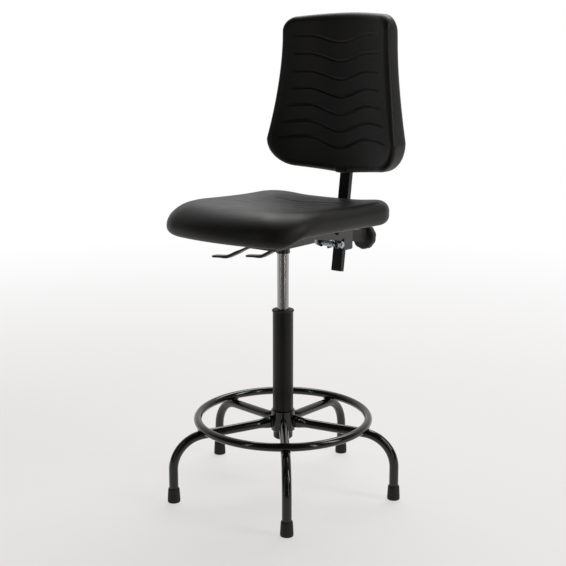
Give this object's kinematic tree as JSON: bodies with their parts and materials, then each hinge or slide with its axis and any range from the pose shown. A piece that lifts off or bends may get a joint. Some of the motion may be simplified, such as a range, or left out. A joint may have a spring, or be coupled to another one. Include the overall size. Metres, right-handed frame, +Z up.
{
  "type": "drafting chair",
  "caption": "Height-adjustable drafting chair: moulded foam seat and curved backrest on a gas lift, with a foot ring on a splayed tubular base on glides.",
  "frame": {"origin": "on the floor, on the axis of the column", "axes": "+Z up, -Y the way the sitter faces, +X the sitter's left"},
  "size_m": [0.5571, 0.625, 1.157],
  "materials": {
    "steel_black": "gloss black powder coat",
    "tube_black": "satin black paint",
    "chrome": "polished chrome plate",
    "zinc": "bright zinc plate",
    "brass": "plain turned brass",
    "foam": "moulded polyurethane integral-skin foam, satin black",
    "plastic": "fine-textured black moulded plastic",
    "rubber": "matt black rubber",
    "wood": "raw plywood"
  },
  "bodies": {
    "base": {"hub_sleeve": "steel_black", "leg_1": "steel_black", "leg_2": "steel_black", "leg_3": "steel_black", "leg_4": "steel_black", "leg_5": "steel_black", "foot_cap_1": "rubber", "foot_cap_2": "rubber", "foot_cap_3": "rubber", "foot_cap_4": "rubber", "foot_cap_5": "rubber", "foot_ring": "steel_black", "weld_beads": "steel_black", "lift_outer_tube": "tube_black", "guide_bush": "plastic", "bearing_lower_race": "zinc"},
    "rod": {"bearing_balls": "chrome", "bearing_upper_race": "zinc", "rod_cushion": "rubber", "piston_rod": "chrome", "rod_clip": "zinc", "rod_piston": "brass"},
    "seat_unit": {"lift_cylinder": "chrome", "lift_gland": "zinc", "taper_socket": "steel_black", "mechanism_channel": "steel_black", "seat_plate": "steel_black", "seat_bolt_1": "zinc", "seat_bolt_2": "zinc", "seat_bolt_3": "zinc", "seat_bolt_4": "zinc", "seat_board": "wood", "seat_pad": "foam", "tilt_lever_pin": "zinc", "height_lever_pin": "zinc", "rear_yoke": "steel_black", "tilt_axle": "zinc", "axle_nut": "zinc"},
    "valve": {"valve_pin": "chrome"},
    "height_arm": {"height_lever": "tube_black"},
    "tilt_arm": {"tilt_lever": "tube_black"},
    "carrier": {"back_carrier": "steel_black", "bar_guide": "plastic", "clamp_shoe": "brass", "tilt_spring": "zinc"},
    "knob": {"clamp_knob": "plastic", "clamp_stud": "zinc"},
    "bar": {"back_bar": "tube_black", "bar_end_cap": "plastic"},
    "backrest": {"back_bracket": "steel_black", "back_screws": "zinc", "back_insert": "wood", "back_pad": "foam", "back_pivot_pin": "zinc"}
  },
  "joints": [
    {"name": "swivel", "type": "hinge", "parent": "base", "child": "rod", "pos_m": [0, 0, 0.14], "axis": [0, 0, 1], "continuous": true},
    {"name": "height", "type": "slide", "parent": "rod", "child": "seat_unit", "axis": [0, 0, 1], "range_m": [-0.125, 0.07]},
    {"name": "height_lever", "type": "hinge", "parent": "seat_unit", "child": "height_arm", "pos_m": [-0.033, 0.04, 0.616], "axis": [0, 1, 0], "range_deg": [0, 7], "stiffness_Nm_per_rad": 4, "springref_deg": -1.72},
    {"name": "valve", "type": "slide", "parent": "seat_unit", "child": "valve", "axis": [0, 0, -1], "range_m": [0, 0.0042], "stiffness_N_per_m": 900, "springref_m": -0.0005},
    {"name": "tilt_lever", "type": "hinge", "parent": "seat_unit", "child": "tilt_arm", "pos_m": [-0.033, -0.06, 0.616], "axis": [0, 1, 0], "range_deg": [0, 7]},
    {"name": "back_tilt", "type": "hinge", "parent": "seat_unit", "child": "carrier", "pos_m": [0, 0.19, 0.586], "axis": [-1, 0, 0], "range_deg": [-3, 12]},
    {"name": "back_height", "type": "slide", "parent": "carrier", "child": "bar", "axis": [0, 0.1461, 0.9893], "range_m": [-0.03, 0.05]},
    {"name": "clamp_turn", "type": "hinge", "parent": "carrier", "child": "knob", "pos_m": [0, 0.2396, 0.5981], "axis": [0, 0.9893, -0.1461], "range_deg": [-360, 0]},
    {"name": "pad_nod", "type": "hinge", "parent": "bar", "child": "backrest", "pos_m": [0, 0.28226, 0.88697], "axis": [-1, 0, 0], "range_deg": [-3, 4]}
  ],
  "couplings": [
    {"joint": "valve", "follows": "height_lever", "m_per_rad": 0.033}
  ]
}
